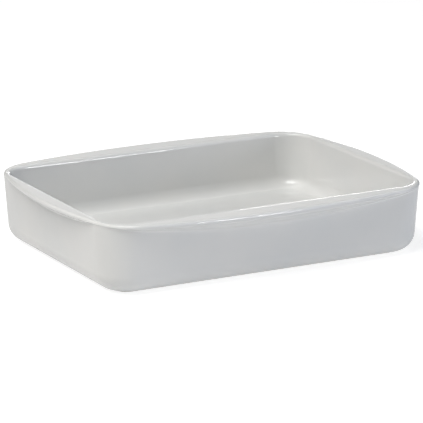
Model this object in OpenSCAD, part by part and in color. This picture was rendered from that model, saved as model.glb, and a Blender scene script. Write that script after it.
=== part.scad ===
// Rectangular porcelain baking dish with a level rim that bows out on all four sides.
// Length runs along X, width along Y, and the foot ring stands on z = 0 around the origin.
// The dish is one fired body under one fused coat of glaze. Only the foot ring is left bare.

/* [Overall] */
// Length over the rim, at the middle of the two ends
overall_len = 358; // [352:1:368]
// Width over the rim, at the middle of the two long sides
overall_wid = 286; // [282:1:296]
// Height from the table to the top of the rim
overall_h = 68; // [62:1:75]

/* [Rim] */
// Radius of the outward bow of each end of the rim
end_bow_r = 450; // [420:10:500]
// Radius of the outward bow of each long side of the rim
side_bow_r = 740; // [700:10:800]
// Radius of the rim's corners, seen from above
rim_corner_r = 44; // [42:1:48]
// Thickness of the rim at its rounded outer edge
rim_edge_t = 5; // [4:0.5:7]
// Slope of the underside of the rim, in degrees from level
under_slope = 35; // [20:1:50]
// Radius of the soft edge between the rim and the cavity
inner_edge_r = 3.5; // [1.5:0.5:4]

/* [Cavity] */
// Length of the cavity between its end walls, at the rim
cavity_len = 325; // [316:1:326]
// Width of the cavity between its long walls, at the rim
cavity_wid = 237; // [228:1:238]
// Radius of the cavity's upright corners
cavity_corner_r = 28; // [27:1:34]
// Lean of the cavity's walls and of the side of the hollow under the base, in degrees from upright
cavity_lean = 2.5; // [1.5:0.5:4]
// Radius where the floor turns up into the walls
floor_fillet_r = 12; // [6:1:16]

/* [Walls and base] */
// Thickness of the walls just below the rim
wall_t = 6.2; // [5:0.1:6.4]
// Lean of the outside of the walls, in degrees from upright
wall_lean = 4; // [3:0.5:5]
// Thickness of the base, from the hollow under it to the floor of the cavity
base_t = 8.5; // [6:0.5:10]
// Radius of the heel, where the walls turn under to the base
heel_r = 18; // [10:1:20]
// Height of the foot ring below the base
foot_h = 1.5; // [1:0.5:3]
// Width of the foot ring
foot_w = 5; // [4:0.5:8]
// Depth of the hollow inside the foot ring, measured from the table
recess_depth = 5.5; // [3:0.5:6]

/* [Glaze] */
// Thickness of the glaze coat
glaze_t = 0.4; // [0.3:0.05:0.6]
// Height of the band of foot ring that is wiped clean of glaze
bare_h = 0.8; // [0.5:0.1:1]

/* [Hidden] */
$fn = 96;
// Steps that draw a wide arc and a tight one in the sections
wide_steps = 8;
tight_steps = 5;
// Overrun of a cutting shape past the face that it cuts
cut = 1;
// Reach of the rim's section inwards from its edge, which ends inside the walls at every point
rim_reach = 30;
// Half lengths of the straight sides, from the centre to the centre of an upright corner
straight_x = cavity_len / 2 - cavity_corner_r;
straight_y = cavity_wid / 2 - cavity_corner_r;
// Centres of the rim's bow arcs: the end's on the X axis, the long side's on the Y axis
end_bow_x = overall_len / 2 - end_bow_r;
side_bow_y = overall_wid / 2 - side_bow_r;
// Each bow runs in under the rounding of the corner by this much, so that the two cross cleanly
tuck = 0.25;
// Centre of the rim's corner arc, which reaches past both bows by the tuck
bow_gap = norm([end_bow_x, side_bow_y]);
end_reach = end_bow_r + tuck - rim_corner_r;
side_reach = side_bow_r + tuck - rim_corner_r;
along = (side_reach * side_reach - end_reach * end_reach + bow_gap * bow_gap) / (2 * bow_gap);
across = sqrt(side_reach * side_reach - along * along);
to_end = [end_bow_x, -side_bow_y] / bow_gap;
corner_x = to_end[0] * along + to_end[1] * across;
corner_y = side_bow_y + to_end[1] * along - to_end[0] * across;
// Angles at which the bows end, inside the corner
end_angle = atan2(corner_y, corner_x - end_bow_x);
side_angle = atan2(corner_y - side_bow_y, corner_x);
// Heights and radii that the sections share
floor_z = recess_depth + base_t;
lip_z = overall_h - inner_edge_r;
outer_corner_r = cavity_corner_r + wall_t;
// Outer radius of the foot ring's corners, where the heel's arc meets the base
foot_corner_r = outer_corner_r - (lip_z - foot_h) * tan(wall_lean) - arc_reach(heel_r, wall_lean);
// Radius of the arc where the side of the hollow under the base meets its ceiling
recess_arc_r = recess_depth / 2;

// Points of an arc about a centre, from one angle to another
function arc(centre, r, from_angle, to_angle, steps) =
    [for (i = [0:steps])
        let (a = from_angle + (to_angle - from_angle) * i / steps)
        centre + r * [cos(a), sin(a)]];

// Reach of an arc along a flat bottom, from where it leaves the bottom to the foot of a leaning wall
function arc_reach(arc_r, lean) = arc_r * tan((90 - lean) / 2);

// The arc that turns a flat bottom up into a leaning wall, wall_r from the axis at height wall_z
function turned_up(wall_r, wall_z, lean, bottom_z, arc_r) =
    arc([wall_r - (wall_z - bottom_z) * tan(lean) - arc_reach(arc_r, lean), bottom_z + arc_r], arc_r,
        -90, -lean, wide_steps);

// Half section of a leaning wall on a flat bottom, filled from the upright axis outwards
module walled_section(wall_r, wall_z, lean, bottom_z, arc_r, top_z) {
    polygon(concat([[0, top_z], [0, bottom_z]],
                   turned_up(wall_r, wall_z, lean, bottom_z, arc_r),
                   [[wall_r + (top_z - wall_z) * tan(lean), top_z]]));
}

// Half section of the cavity, whose wall rolls over into the top of the rim
module cavity_section(peel) {
    wall_r = cavity_corner_r + peel / cos(cavity_lean);
    edge_r = inner_edge_r - peel;
    edge_x = wall_r + edge_r / cos(cavity_lean);
    high_z = overall_h + cut;
    polygon(concat([[0, high_z], [0, floor_z - peel]],
                   turned_up(wall_r, lip_z, cavity_lean, floor_z - peel, floor_fillet_r + peel),
                   arc([edge_x, lip_z], edge_r, 180 - cavity_lean, 90, tight_steps),
                   [[edge_x, high_z]]));
}

// Carries a half section round the dish's rounded rectangle, and fills the middle between two heights
module carry_round(low_z, high_z) {
    for (end = [0, 180])
        rotate([0, 0, end]) {
            translate([straight_x, straight_y])
                rotate_extrude(angle = 90)
                    children();
            translate([-straight_x, straight_y])
                rotate([0, 0, 90])
                    rotate_extrude(angle = 90)
                        children();
            translate([straight_x, straight_y])
                rotate([90, 0, 0])
                    linear_extrude(height = 2 * straight_y)
                        children();
            translate([-straight_x, straight_y])
                rotate([90, 0, 90])
                    linear_extrude(height = 2 * straight_x)
                        children();
        }
    translate([-straight_x, -straight_y, low_z])
        cube([2 * straight_x, 2 * straight_y, high_z - low_z]);
}

// Section of the rim with its outer edge edge_r from the axis: a round nose on a sloping underside
module rim_section(edge_r, peel) {
    nose_r = rim_edge_t / 2 - peel;
    run = rim_reach - rim_edge_t / 2;
    translate([edge_r - rim_edge_t / 2, overall_h - rim_edge_t / 2]) {
        circle(r = nose_r);
        polygon([[0, nose_r], [-run, nose_r],
                 [-run, -run * tan(under_slope) - nose_r / cos(under_slope)],
                 [nose_r * sin(under_slope), -nose_r * cos(under_slope)], [0, 0]]);
    }
}

// One arc of the rim about a centre, between two angles
module rim_arc(centre, edge_r, from_angle, to_angle, peel) {
    translate(centre)
        rotate([0, 0, from_angle])
            rotate_extrude(angle = to_angle - from_angle, $fn = edge_r * 2)
                rim_section(edge_r, peel);
}

// The rim: a bow along every side, and a quarter turn at every corner
module rim(peel) {
    for (end = [0, 180])
        rotate([0, 0, end]) {
            rim_arc([end_bow_x, 0], end_bow_r, -end_angle, end_angle, peel);
            rim_arc([0, side_bow_y], side_bow_r, side_angle, 180 - side_angle, peel);
            rim_arc([corner_x, corner_y], rim_corner_r, 0, 90, peel);
            rim_arc([-corner_x, corner_y], rim_corner_r, 90, 180, peel);
        }
}

// Outside of the walls, with the heel's arc below
module walls(peel) {
    high_z = overall_h - rim_edge_t / 2;
    carry_round(foot_h + peel, high_z)
        walled_section(outer_corner_r - peel / cos(wall_lean), lip_z, wall_lean,
                       foot_h + peel, heel_r - peel, high_z);
}

// The raised ring that the dish stands on
module foot_ring(peel) {
    carry_round(0, foot_h + cut)
        square([foot_corner_r - peel, foot_h + cut]);
}

// The hollow inside the foot ring
module foot_recess(peel) {
    ceiling = recess_depth + peel;
    carry_round(-cut, ceiling)
        mirror([0, 1])
            walled_section(foot_corner_r - foot_w + peel, 0, cavity_lean, -ceiling, recess_arc_r, cut);
}

// The cavity
module cavity(peel) {
    carry_round(floor_z - peel, overall_h + cut)
        cavity_section(peel);
}

// The whole dish, with its skin peeled back by the thickness peel
module dish(peel) {
    difference() {
        union() {
            walls(peel);
            rim(peel);
            foot_ring(peel);
        }
        cavity(peel);
        foot_recess(peel);
    }
}

// The fired porcelain, whole from foot ring to rim
module porcelain_body() {
    color("whitesmoke")
        dish(glaze_t);
}

// The fused glass skin over everything but the tip of the foot ring
module glaze_coat() {
    color("white")
        difference() {
            dish(0);
            dish(glaze_t);
            translate([-overall_len / 2, -overall_wid / 2, -cut])
                cube([overall_len, overall_wid, cut + bare_h]);
        }
}

porcelain_body();
glaze_coat();
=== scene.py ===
import math

import bmesh
import bpy
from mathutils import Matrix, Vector


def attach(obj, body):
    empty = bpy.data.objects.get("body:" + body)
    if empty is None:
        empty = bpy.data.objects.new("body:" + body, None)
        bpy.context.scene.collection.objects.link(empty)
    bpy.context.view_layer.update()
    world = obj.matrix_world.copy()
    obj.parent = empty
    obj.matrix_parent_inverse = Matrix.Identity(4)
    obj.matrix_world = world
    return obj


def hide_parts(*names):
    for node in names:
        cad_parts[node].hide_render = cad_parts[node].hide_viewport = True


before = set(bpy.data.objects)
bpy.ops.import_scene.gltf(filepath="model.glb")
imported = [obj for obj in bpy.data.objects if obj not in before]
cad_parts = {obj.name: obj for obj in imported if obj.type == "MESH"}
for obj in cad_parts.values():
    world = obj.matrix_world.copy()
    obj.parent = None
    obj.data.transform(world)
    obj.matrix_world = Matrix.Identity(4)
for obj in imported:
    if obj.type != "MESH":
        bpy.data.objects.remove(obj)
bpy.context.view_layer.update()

MM = 0.001
LENGTH, WIDTH, HEIGHT = 358 * MM, 286 * MM, 68 * MM
END_BOW_R, SIDE_BOW_R, RIM_CORNER_R = 450 * MM, 740 * MM, 44 * MM
NOSE_R = 2.5 * MM
# The slope under the rim is drawn a little flatter than in the solids, as the light on the left rim shows it
UNDER_SLOPE = math.radians(30)
INNER_EDGE_R = 3.5 * MM
CAVITY_LENGTH, CAVITY_WIDTH, CAVITY_CORNER_R = 325 * MM, 237 * MM, 28 * MM
FLOOR_Z, FLOOR_FILLET_R = 14 * MM, 12 * MM
WALL_T, HEEL_R = 6.2 * MM, 18 * MM
WALL_LEAN, CAVITY_LEAN = math.radians(4), math.radians(2.5)
FOOT_H, FOOT_W, RECESS_DEPTH = 1.5 * MM, 5 * MM, 5.5 * MM
RECESS_ARC_R = RECESS_DEPTH / 2
FOOT_EDGE_R, FOOT_COVE_R = 0.7 * MM, 0.4 * MM
BARE_H, GLAZE_T = 0.8 * MM, 0.4 * MM
# The share of the rim's sloping underside that the cove to the wall takes up
COVE_SHARE = 0.2
# Steps round a quarter of the dish, and then steps along each arc of the section
END_STEPS, CORNER_STEPS, SIDE_STEPS = 12, 24, 16
FLOOR_STEPS, LIP_STEPS, NOSE_STEPS, UNDER_STEPS, COVE_STEPS = 10, 8, 9, 5, 8
HEEL_STEPS, FOOT_STEPS, RECESS_STEPS = 14, 3, 6
# A ring of vertices this far from each bend keeps the flats and the long curves true
HOLD = 0.25 * MM
# Points closer than TOUCH are merged, and a height within NEAR of another counts as level with it
TOUCH = 0.005 * MM
NEAR = 4 * TOUCH

QUARTER = math.pi / 2
STRAIGHT_X = CAVITY_LENGTH / 2 - CAVITY_CORNER_R
STRAIGHT_Y = CAVITY_WIDTH / 2 - CAVITY_CORNER_R
LIP_Z, NOSE_Z = HEIGHT - INNER_EDGE_R, HEIGHT - NOSE_R
OUTER_CORNER_R = CAVITY_CORNER_R + WALL_T


def wall_x(corner_r, z, lean):
    """Where a leaning wall stands at height z, in the section through the middle of an end."""
    return STRAIGHT_X + corner_r - (LIP_Z - z) * math.tan(lean)


def arc_reach(arc_r, lean):
    """How far an arc reaches along a flat before it is upright enough to be a leaning wall."""
    return arc_r * math.tan((QUARTER - lean) / 2)


def on_arc(x, z, arc_r, angle):
    """A point of an arc about a centre, with angles counted from +X up to +Z."""
    return x + arc_r * math.cos(angle), z + arc_r * math.sin(angle)


def edit_verts():
    bm = bmesh.from_edit_mesh(bpy.context.object.data)
    bm.verts.ensure_lookup_table()
    return bm.verts


def line_to(x, z):
    """Extrudes the end of the section in a straight line, held by a ring near each end."""
    here = next(v.co.copy() for v in edit_verts() if v.select)
    run = Vector((x, 0, z)) - here
    hold = run.normalized() * min(HOLD, run.length / 3)
    for step in (hold, run - 2 * hold, hold):
        bpy.ops.mesh.extrude_region_move(TRANSFORM_OT_translate={"value": step})


def arc_about(x, z, angle, steps):
    """Spins the end of the section about a centre, from +X up to +Z where the angle is positive."""
    bpy.ops.mesh.spin(steps=steps, angle=angle, center=(x, 0, z), axis=(0, 1, 0))


# The section, from the floor of the cavity over the rim and down to the hollow under the base
fillet_x = wall_x(CAVITY_CORNER_R, FLOOR_Z, CAVITY_LEAN) - arc_reach(FLOOR_FILLET_R, CAVITY_LEAN)
fillet_z = FLOOR_Z + FLOOR_FILLET_R
edge_x = STRAIGHT_X + CAVITY_CORNER_R + INNER_EDGE_R / math.cos(CAVITY_LEAN)
nose_x = LENGTH / 2 - NOSE_R
heel_x = wall_x(OUTER_CORNER_R, FOOT_H, WALL_LEAN) - arc_reach(HEEL_R, WALL_LEAN)
heel_z = FOOT_H + HEEL_R
foot_out_x = heel_x - FOOT_COVE_R
foot_in_x = heel_x - FOOT_W
recess_x = foot_in_x - RECESS_DEPTH * math.tan(CAVITY_LEAN) - arc_reach(RECESS_ARC_R, CAVITY_LEAN)
recess_z = RECESS_DEPTH - RECESS_ARC_R

# The rim's underside leaves the nose at under_x, and would meet the wall after slope_run but for the cove
under_x, under_z = on_arc(nose_x, NOSE_Z, NOSE_R, UNDER_SLOPE - QUARTER)
under_reach = under_x - wall_x(OUTER_CORNER_R, under_z, WALL_LEAN)
slope_run = under_reach / (math.cos(UNDER_SLOPE) - math.sin(UNDER_SLOPE) * math.tan(WALL_LEAN))
cove_turn = QUARTER - UNDER_SLOPE - WALL_LEAN
cove_run = slope_run * (1 - COVE_SHARE)
cove_r = slope_run * COVE_SHARE / math.tan(cove_turn / 2)
cove_start = (under_x - cove_run * math.cos(UNDER_SLOPE), under_z - cove_run * math.sin(UNDER_SLOPE))
cove_x, cove_z = on_arc(*cove_start, cove_r, UNDER_SLOPE - QUARTER)

bpy.ops.object.select_all(action="DESELECT")
bpy.ops.mesh.primitive_plane_add(size=MM, location=(fillet_x, 0, FLOOR_Z))
bpy.ops.object.transform_apply()
bpy.ops.object.mode_set(mode="EDIT")
bpy.ops.mesh.merge(type="CENTER")
arc_about(fillet_x, fillet_z, QUARTER - CAVITY_LEAN, FLOOR_STEPS)
line_to(*on_arc(edge_x, LIP_Z, INNER_EDGE_R, math.pi - CAVITY_LEAN))
arc_about(edge_x, LIP_Z, CAVITY_LEAN - QUARTER, LIP_STEPS)
line_to(nose_x, HEIGHT)
nose_first = len(edit_verts()) - 2
arc_about(nose_x, NOSE_Z, -QUARTER, NOSE_STEPS)
under_first = len(edit_verts())
arc_about(nose_x, NOSE_Z, UNDER_SLOPE - QUARTER, UNDER_STEPS)
line_to(*cove_start)
arc_about(cove_x, cove_z, cove_turn, COVE_STEPS)
under_last = len(edit_verts()) + 1
line_to(*on_arc(heel_x, heel_z, HEEL_R, -WALL_LEAN))
arc_about(heel_x, heel_z, WALL_LEAN - QUARTER, HEEL_STEPS)
arc_about(heel_x, FOOT_H - FOOT_COVE_R, QUARTER, FOOT_STEPS)
line_to(foot_out_x, BARE_H)
line_to(foot_out_x, FOOT_EDGE_R)
arc_about(foot_out_x - FOOT_EDGE_R, FOOT_EDGE_R, -QUARTER, FOOT_STEPS)
line_to(foot_in_x + FOOT_EDGE_R, 0)
arc_about(foot_in_x + FOOT_EDGE_R, FOOT_EDGE_R, -QUARTER, FOOT_STEPS)
line_to(foot_in_x, BARE_H)
line_to(*on_arc(recess_x, recess_z, RECESS_ARC_R, CAVITY_LEAN))
arc_about(recess_x, recess_z, QUARTER - CAVITY_LEAN, RECESS_STEPS)
section_count = len(edit_verts())

# The outline of the rim: a bow on each end and each long side, and a corner arc that touches both
end_bow = Vector((LENGTH / 2 - END_BOW_R, 0))
side_bow = Vector((0, WIDTH / 2 - SIDE_BOW_R))
gap = (end_bow - side_bow).length
end_reach, side_reach = END_BOW_R - RIM_CORNER_R, SIDE_BOW_R - RIM_CORNER_R
along = (side_reach**2 - end_reach**2 + gap**2) / (2 * gap)
toward = (end_bow - side_bow) / gap
rim_corner = side_bow + along * toward + math.sqrt(side_reach**2 - along**2) * Vector((toward.y, -toward.x))


def rim_distance(start, way):
    """How far it is from a point inside the rim to the rim's outer edge."""
    def to_circle(centre, r):
        off = start - centre
        return -off.dot(way) + math.sqrt(off.dot(way) ** 2 - off.length_squared + r * r)

    end_way, side_way = rim_corner - end_bow, rim_corner - side_bow
    to_end = to_circle(end_bow, END_BOW_R)
    if (start + to_end * way - end_bow).cross(end_way) > 0:
        return to_end
    to_side = to_circle(side_bow, SIDE_BOW_R)
    if (start + to_side * way - side_bow).cross(side_way) < 0:
        return to_side
    return to_circle(rim_corner, RIM_CORNER_R)


def choose(first, last):
    """Selects only this run of vertices."""
    bpy.ops.mesh.select_all(action="DESELECT")
    for v in list(edit_verts())[first:last]:
        v.select = True
    bm = bmesh.from_edit_mesh(bpy.context.object.data)
    bm.select_flush(True)


bpy.ops.mesh.select_all(action="SELECT")
start, way = Vector((STRAIGHT_X, 0)), Vector((1, 0))
wall_reach = wall_x(OUTER_CORNER_R, NOSE_Z, WALL_LEAN) - STRAIGHT_X
overhang = LENGTH / 2 - STRAIGHT_X - wall_reach
for step in range(1, END_STEPS + CORNER_STEPS + SIDE_STEPS + 1):
    if step <= END_STEPS:
        start.y += STRAIGHT_Y / END_STEPS
        bpy.ops.mesh.extrude_region_move(TRANSFORM_OT_translate={"value": (0, STRAIGHT_Y / END_STEPS, 0)})
    elif step <= END_STEPS + CORNER_STEPS:
        angle = QUARTER * (step - END_STEPS) / CORNER_STEPS
        way = Vector((math.cos(angle), math.sin(angle)))
        bpy.ops.mesh.spin(steps=1, angle=-QUARTER / CORNER_STEPS, center=(STRAIGHT_X, STRAIGHT_Y, 0),
                          axis=(0, 0, 1))
    else:
        start.x -= STRAIGHT_X / SIDE_STEPS
        bpy.ops.mesh.extrude_region_move(TRANSFORM_OT_translate={"value": (-STRAIGHT_X / SIDE_STEPS, 0, 0)})
    next_overhang = rim_distance(start, way) - wall_reach
    first = step * section_count
    choose(first + nose_first, first + under_first)
    let_out = way * (next_overhang - overhang)
    bpy.ops.transform.translate(value=(*let_out, 0))
    choose(first + under_first, first + under_last)
    scale = next_overhang / overhang
    pivot = start + way * wall_reach
    bpy.ops.transform.resize(value=(scale, scale, scale), center_override=(*pivot, NOSE_Z))
    choose(first, first + section_count)
    overhang = next_overhang
# The last ring lies flat on the middle plane, ready for the mirror
bpy.ops.transform.resize(value=(0, 1, 1), center_override=(0, 0, 0))
bpy.ops.object.mode_set(mode="OBJECT")
form = bpy.context.object


def apply_modifier(piece, kind, **settings):
    modifier = piece.modifiers.new(kind, kind)
    for name, value in settings.items():
        setattr(modifier, name, value)
    bpy.ops.object.modifier_apply(modifier=modifier.name)


apply_modifier(form, "MIRROR", use_axis=(True, True, False), merge_threshold=TOUCH)


# The floor of the cavity and the ceiling of the hollow are closed, each with a held edge
bpy.ops.object.mode_set(mode="EDIT")
bpy.ops.mesh.select_all(action="SELECT")
bpy.ops.mesh.fill_holes(sides=0)
bpy.ops.mesh.select_mode(type="FACE")
bpy.ops.mesh.select_face_by_sides(number=4, type="GREATER", extend=False)
bpy.ops.mesh.inset(thickness=2 * HOLD, use_individual=True)
bpy.ops.mesh.select_mode(type="VERT")
bpy.ops.mesh.select_all(action="SELECT")
bpy.ops.mesh.remove_doubles(threshold=TOUCH)
bpy.ops.mesh.normals_make_consistent(inside=False)
bpy.ops.object.mode_set(mode="OBJECT")
bpy.ops.object.shade_smooth()


def copy_of(source, name):
    """A copy of a piece with a mesh of its own, chosen for the next operators."""
    bpy.ops.object.select_all(action="DESELECT")
    source.select_set(True)
    bpy.context.view_layer.objects.active = source
    bpy.ops.object.duplicate()
    piece = bpy.context.object
    piece.name = piece.data.name = name
    return piece


def select_where(test):
    """In edit mode, selects the vertices whose place passes a test."""
    bpy.ops.mesh.select_all(action="DESELECT")
    for v in edit_verts():
        v.select = test(v.co)
    bmesh.from_edit_mesh(bpy.context.object.data).select_flush(True)


# The body lies under the glaze by the glaze's thickness, but its foot still reaches the table
body = copy_of(form, "dish_body")
bpy.ops.object.mode_set(mode="EDIT")
bpy.ops.mesh.select_all(action="SELECT")
bpy.ops.transform.shrink_fatten(value=-GLAZE_T)
select_where(lambda co: co.z < FOOT_EDGE_R + TOUCH)
bpy.ops.transform.translate(value=(0, 0, -GLAZE_T))
select_where(lambda co: co.z < NEAR)
bpy.ops.transform.resize(value=(1, 1, 0), center_override=(0, 0, 0))
bpy.ops.object.mode_set(mode="OBJECT")


def linear(hex_colour):
    """An sRGB hex colour as linear RGBA."""
    parts = [int(hex_colour[i:i + 2], 16) / 255 for i in (1, 3, 5)]
    return (*(c / 12.92 if c <= 0.04045 else ((c + 0.055) / 1.055) ** 2.4 for c in parts), 1)


def add_node(material, kind, inputs=None, **settings):
    """Adds a node with its settings. An input's value is a number, a colour or another node's output."""
    tree = material.node_tree
    node = tree.nodes.new(kind)
    for name, value in settings.items():
        setattr(node, name, value)
    for name, value in (inputs or {}).items():
        if isinstance(value, bpy.types.NodeSocket):
            tree.links.new(value, node.inputs[name])
        else:
            node.inputs[name].default_value = value
    return node


def new_material(name):
    material = bpy.data.materials.new(name)
    material.use_nodes = True
    material.node_tree.nodes.clear()
    return material


def per_mm(size_mm):
    """The scale of a pattern whose features are about this many millimetres across."""
    return 1 / (size_mm * MM)


def mix_of(material, share, first, second):
    """The colour output of a Mix node between two colours."""
    node = add_node(material, "ShaderNodeMix", data_type="RGBA")
    sockets = {s.identifier: s for s in node.inputs}
    sockets["A_Color"].default_value = linear(first)
    sockets["B_Color"].default_value = linear(second)
    material.node_tree.links.new(share, sockets["Factor_Float"])
    return next(s for s in node.outputs if s.identifier == "Result_Color")


# Biscuit porcelain, wiped clean before the glaze firing: a dense matt stone, a little warmer than the glaze,
# with a fine grain that rubs grey where the ring stands on things
biscuit = new_material("biscuit_porcelain")
place = add_node(biscuit, "ShaderNodeTexCoord").outputs["Object"]
rub = add_node(biscuit, "ShaderNodeTexNoise", {"Vector": place, "Scale": per_mm(14), "Detail": 3.0})
rub_share = add_node(biscuit, "ShaderNodeMapRange", {
    "Value": rub.outputs["Fac"], "From Min": 0.4, "From Max": 0.7})
# The real grit is about 0.1 mm, drawn at 0.5 mm so that it shows
grit = add_node(biscuit, "ShaderNodeTexNoise", {"Vector": place, "Scale": per_mm(0.5), "Detail": 2.0})
grit_bump = add_node(biscuit, "ShaderNodeBump", {
    "Height": grit.outputs["Fac"], "Strength": 0.5, "Distance": 0.05 * MM})
biscuit_shader = add_node(biscuit, "ShaderNodeBsdfPrincipled", {
    "Base Color": mix_of(biscuit, rub_share.outputs["Result"], "#DDD8CE", "#C9C5BD"),
    "Roughness": 0.75, "IOR": 1.5, "Normal": grit_bump.outputs["Normal"]})
add_node(biscuit, "ShaderNodeOutputMaterial", {"Surface": biscuit_shader.outputs["BSDF"]})
body.data.materials.clear()
body.data.materials.append(biscuit)
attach(body, "root")
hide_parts("porcelain_body")

# Glaze coat: the glass skin that is fused to the body, poured or sprayed on and melted in the kiln. It covers
# the dish inside and out, and under the base, and stops just short of the tip of the foot ring.
glaze = copy_of(form, "dish_glaze")
inner_skin = copy_of(body, "inner_skin")
for skin in (glaze, inner_skin):
    bpy.context.view_layer.objects.active = skin
    bpy.ops.object.mode_set(mode="EDIT")
    select_where(lambda co: co.z < BARE_H - NEAR)
    bpy.ops.mesh.delete(type="VERT")
    if skin == inner_skin:
        bpy.ops.mesh.select_all(action="SELECT")
        bpy.ops.mesh.flip_normals()
    bpy.ops.object.mode_set(mode="OBJECT")
glaze.select_set(True)
bpy.context.view_layer.objects.active = glaze
bpy.ops.object.join()


def foot_side(co):
    """How far a point lies outside the middle line of the foot ring."""
    off = Vector((max(abs(co.x) - STRAIGHT_X, 0), max(abs(co.y) - STRAIGHT_Y, 0)))
    return off.length - (foot_out_x + foot_in_x) / 2 + STRAIGHT_X


bpy.ops.object.mode_set(mode="EDIT")
for side in (1, -1):
    select_where(lambda co: co.z < BARE_H + NEAR and side * foot_side(co) > 0)
    bpy.ops.mesh.bridge_edge_loops()
bpy.ops.object.mode_set(mode="OBJECT")
bpy.ops.object.shade_smooth()
bpy.data.objects.remove(form)

# Transparent gloss glaze on white porcelain, sprayed and fired: it looks like one hard, bright white skin,
# and its reflections wander a little because the glass has flowed
glazed = new_material("white_porcelain_glaze")
place = add_node(glazed, "ShaderNodeTexCoord").outputs["Object"]
tone = add_node(glazed, "ShaderNodeTexNoise", {"Vector": place, "Scale": per_mm(60), "Detail": 2.0})
tone_share = add_node(glazed, "ShaderNodeMapRange", {
    "Value": tone.outputs["Fac"], "From Min": 0.35, "From Max": 0.65})
# The glass flows into waves about 22 mm long and 0.05 mm high, with a peel of 3 mm on top
wave = add_node(glazed, "ShaderNodeTexNoise", {"Vector": place, "Scale": per_mm(22), "Detail": 1.0})
wave_bump = add_node(glazed, "ShaderNodeBump", {
    "Height": wave.outputs["Fac"], "Strength": 1.0, "Distance": 0.12 * MM})
peel = add_node(glazed, "ShaderNodeTexNoise", {"Vector": place, "Scale": per_mm(3), "Detail": 1.0})
peel_bump = add_node(glazed, "ShaderNodeBump", {
    "Height": peel.outputs["Fac"], "Strength": 1.0, "Distance": 0.01 * MM,
    "Normal": wave_bump.outputs["Normal"]})
gloss = add_node(glazed, "ShaderNodeTexNoise", {"Vector": place, "Scale": per_mm(35), "Detail": 3.0})
gloss_range = add_node(glazed, "ShaderNodeMapRange", {
    "Value": gloss.outputs["Fac"], "From Min": 0.3, "From Max": 0.7, "To Min": 0.05, "To Max": 0.09})
glazed_shader = add_node(glazed, "ShaderNodeBsdfPrincipled", {
    "Base Color": mix_of(glazed, tone_share.outputs["Result"], "#E0E0DE", "#DCDDDC"),
    "Roughness": gloss_range.outputs["Result"], "IOR": 1.52, "Normal": peel_bump.outputs["Normal"]})
add_node(glazed, "ShaderNodeOutputMaterial", {"Surface": glazed_shader.outputs["BSDF"]})
glaze.data.materials.clear()
glaze.data.materials.append(glazed)
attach(glaze, "root")
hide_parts("glaze_coat")

# Table: a plain sheet of milky acrylic that glows a little from below, as a product table does, so that the
# dish's heel stays light. The camera sees it brighter than it is, white in the open and darker by the dish.
TABLE_SIZE = 6.0
bpy.ops.object.select_all(action="DESELECT")
bpy.ops.mesh.primitive_plane_add(size=TABLE_SIZE, location=(0, 0, 0))
table = bpy.context.object
table.name = table.data.name = "table"
table_white = new_material("white_table")
seen = add_node(table_white, "ShaderNodeLightPath").outputs["Is Camera Ray"]
glow_strength = add_node(table_white, "ShaderNodeMapRange", {"Value": seen, "To Min": 0.35, "To Max": 0.76})
glow = add_node(table_white, "ShaderNodeEmission", {"Strength": glow_strength.outputs["Result"]})
paint = add_node(table_white, "ShaderNodeBsdfDiffuse", {"Color": linear("#BCBCBC")})
both = add_node(table_white, "ShaderNodeAddShader", {0: paint.outputs["BSDF"], 1: glow.outputs["Emission"]})
add_node(table_white, "ShaderNodeOutputMaterial", {"Surface": both.outputs["Shader"]})
table.data.materials.append(table_white)


# Light: a broad key from the upper left and a tighter lamp high over it, a weak lamp on the right, a low cool
# card in front, and two weak panels behind. Three low cards only show in the glaze, where they draw the thin
# highlights along the edges of the rim.
def soft_box(name, turn, lift, distance, width, height, power, colour="#FFFFFF"):
    """A flat lamp facing the dish, turned about it from +X and lifted from the table by so many degrees.

    Its distance and size are in metres, and its power in watts.
    """
    light = bpy.data.lights.new(name, "AREA")
    light.shape, light.size, light.size_y, light.energy = "RECTANGLE", width, height, power
    light.color = linear(colour)[:3]
    lamp = bpy.data.objects.new(name, light)
    bpy.context.collection.objects.link(lamp)
    turn, lift = math.radians(turn), math.radians(lift)
    way = Vector((math.cos(turn) * math.cos(lift), math.sin(turn) * math.cos(lift), math.sin(lift)))
    lamp.location = way * distance
    lamp.rotation_euler = way.to_track_quat("Z", "Y").to_euler()
    return lamp


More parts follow.
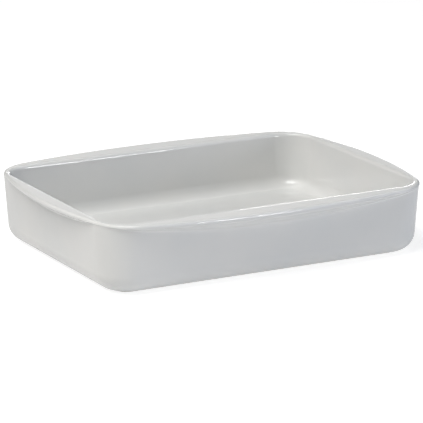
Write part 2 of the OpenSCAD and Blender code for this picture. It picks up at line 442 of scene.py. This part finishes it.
soft_box("key_light", 196, 50, 2.0, 1.7, 1.3, 20.7, "#FFFEFA")
soft_box("overhead_light", 207, 70, 2.0, 1.1, 0.8, 18.0)
soft_box("right_light", 0, 45, 2.0, 0.8, 0.8, 3.8, "#EEF6FF")
soft_box("front_card", 305, 7, 2.0, 2.4, 0.5, 12.7, "#E9EFFF")
soft_box("back_panel_left", 133, 35, 2.0, 1.2, 1.0, 5.7, "#FFF6F7")
soft_box("back_panel_right", 60, 14, 2.0, 0.9, 0.9, 1.6)
glints = (soft_box("front_glint", 290, 5, 1.78, 0.6, 0.28, 12),
          soft_box("back_glint", 58, 3.5, 2.77, 0.36, 0.35, 4),
          soft_box("wide_back_glint", 60, 4, 2.5, 1.2, 0.35, 2.6))
for card in glints:
    card.visible_diffuse = False
world = bpy.data.worlds.new("dark_room")
bpy.context.scene.world = world
world.use_nodes = True
in_view = world.node_tree.nodes.new("ShaderNodeLightPath").outputs["Is Camera Ray"]
world.node_tree.links.new(in_view, world.node_tree.nodes["Background"].inputs["Strength"])
world.node_tree.nodes["Background"].inputs["Color"].default_value = (1, 1, 1, 1)

# Camera: a long lens, turned to the front left corner and a little above the rim, as in the photograph
SENSOR = 36.0
FOCAL_PX, FRAME_PX = 3000, 423
CAMERA_TURN, CAMERA_TILT = math.radians(-28.29), math.radians(15.06)
CAMERA_DISTANCE = 2836 * MM
AIM_ASIDE, AIM_HEIGHT = 1.06 * MM, 33.06 * MM
camera_data = bpy.data.cameras.new("camera")
camera_data.sensor_width = SENSOR
camera_data.lens = SENSOR * FOCAL_PX / FRAME_PX
camera_data.clip_end = 20
camera = bpy.data.objects.new("camera", camera_data)
bpy.context.collection.objects.link(camera)
back = Vector((math.sin(CAMERA_TURN) * math.cos(CAMERA_TILT), -math.cos(CAMERA_TURN) * math.cos(CAMERA_TILT),
               math.sin(CAMERA_TILT)))
aside = Vector((math.cos(CAMERA_TURN), math.sin(CAMERA_TURN), 0))
camera.location = Vector((0, 0, AIM_HEIGHT)) + aside * AIM_ASIDE + back * CAMERA_DISTANCE
camera.rotation_euler = back.to_track_quat("Z", "Y").to_euler()
bpy.context.scene.camera = camera
bpy.context.scene.view_settings.view_transform = "Standard"
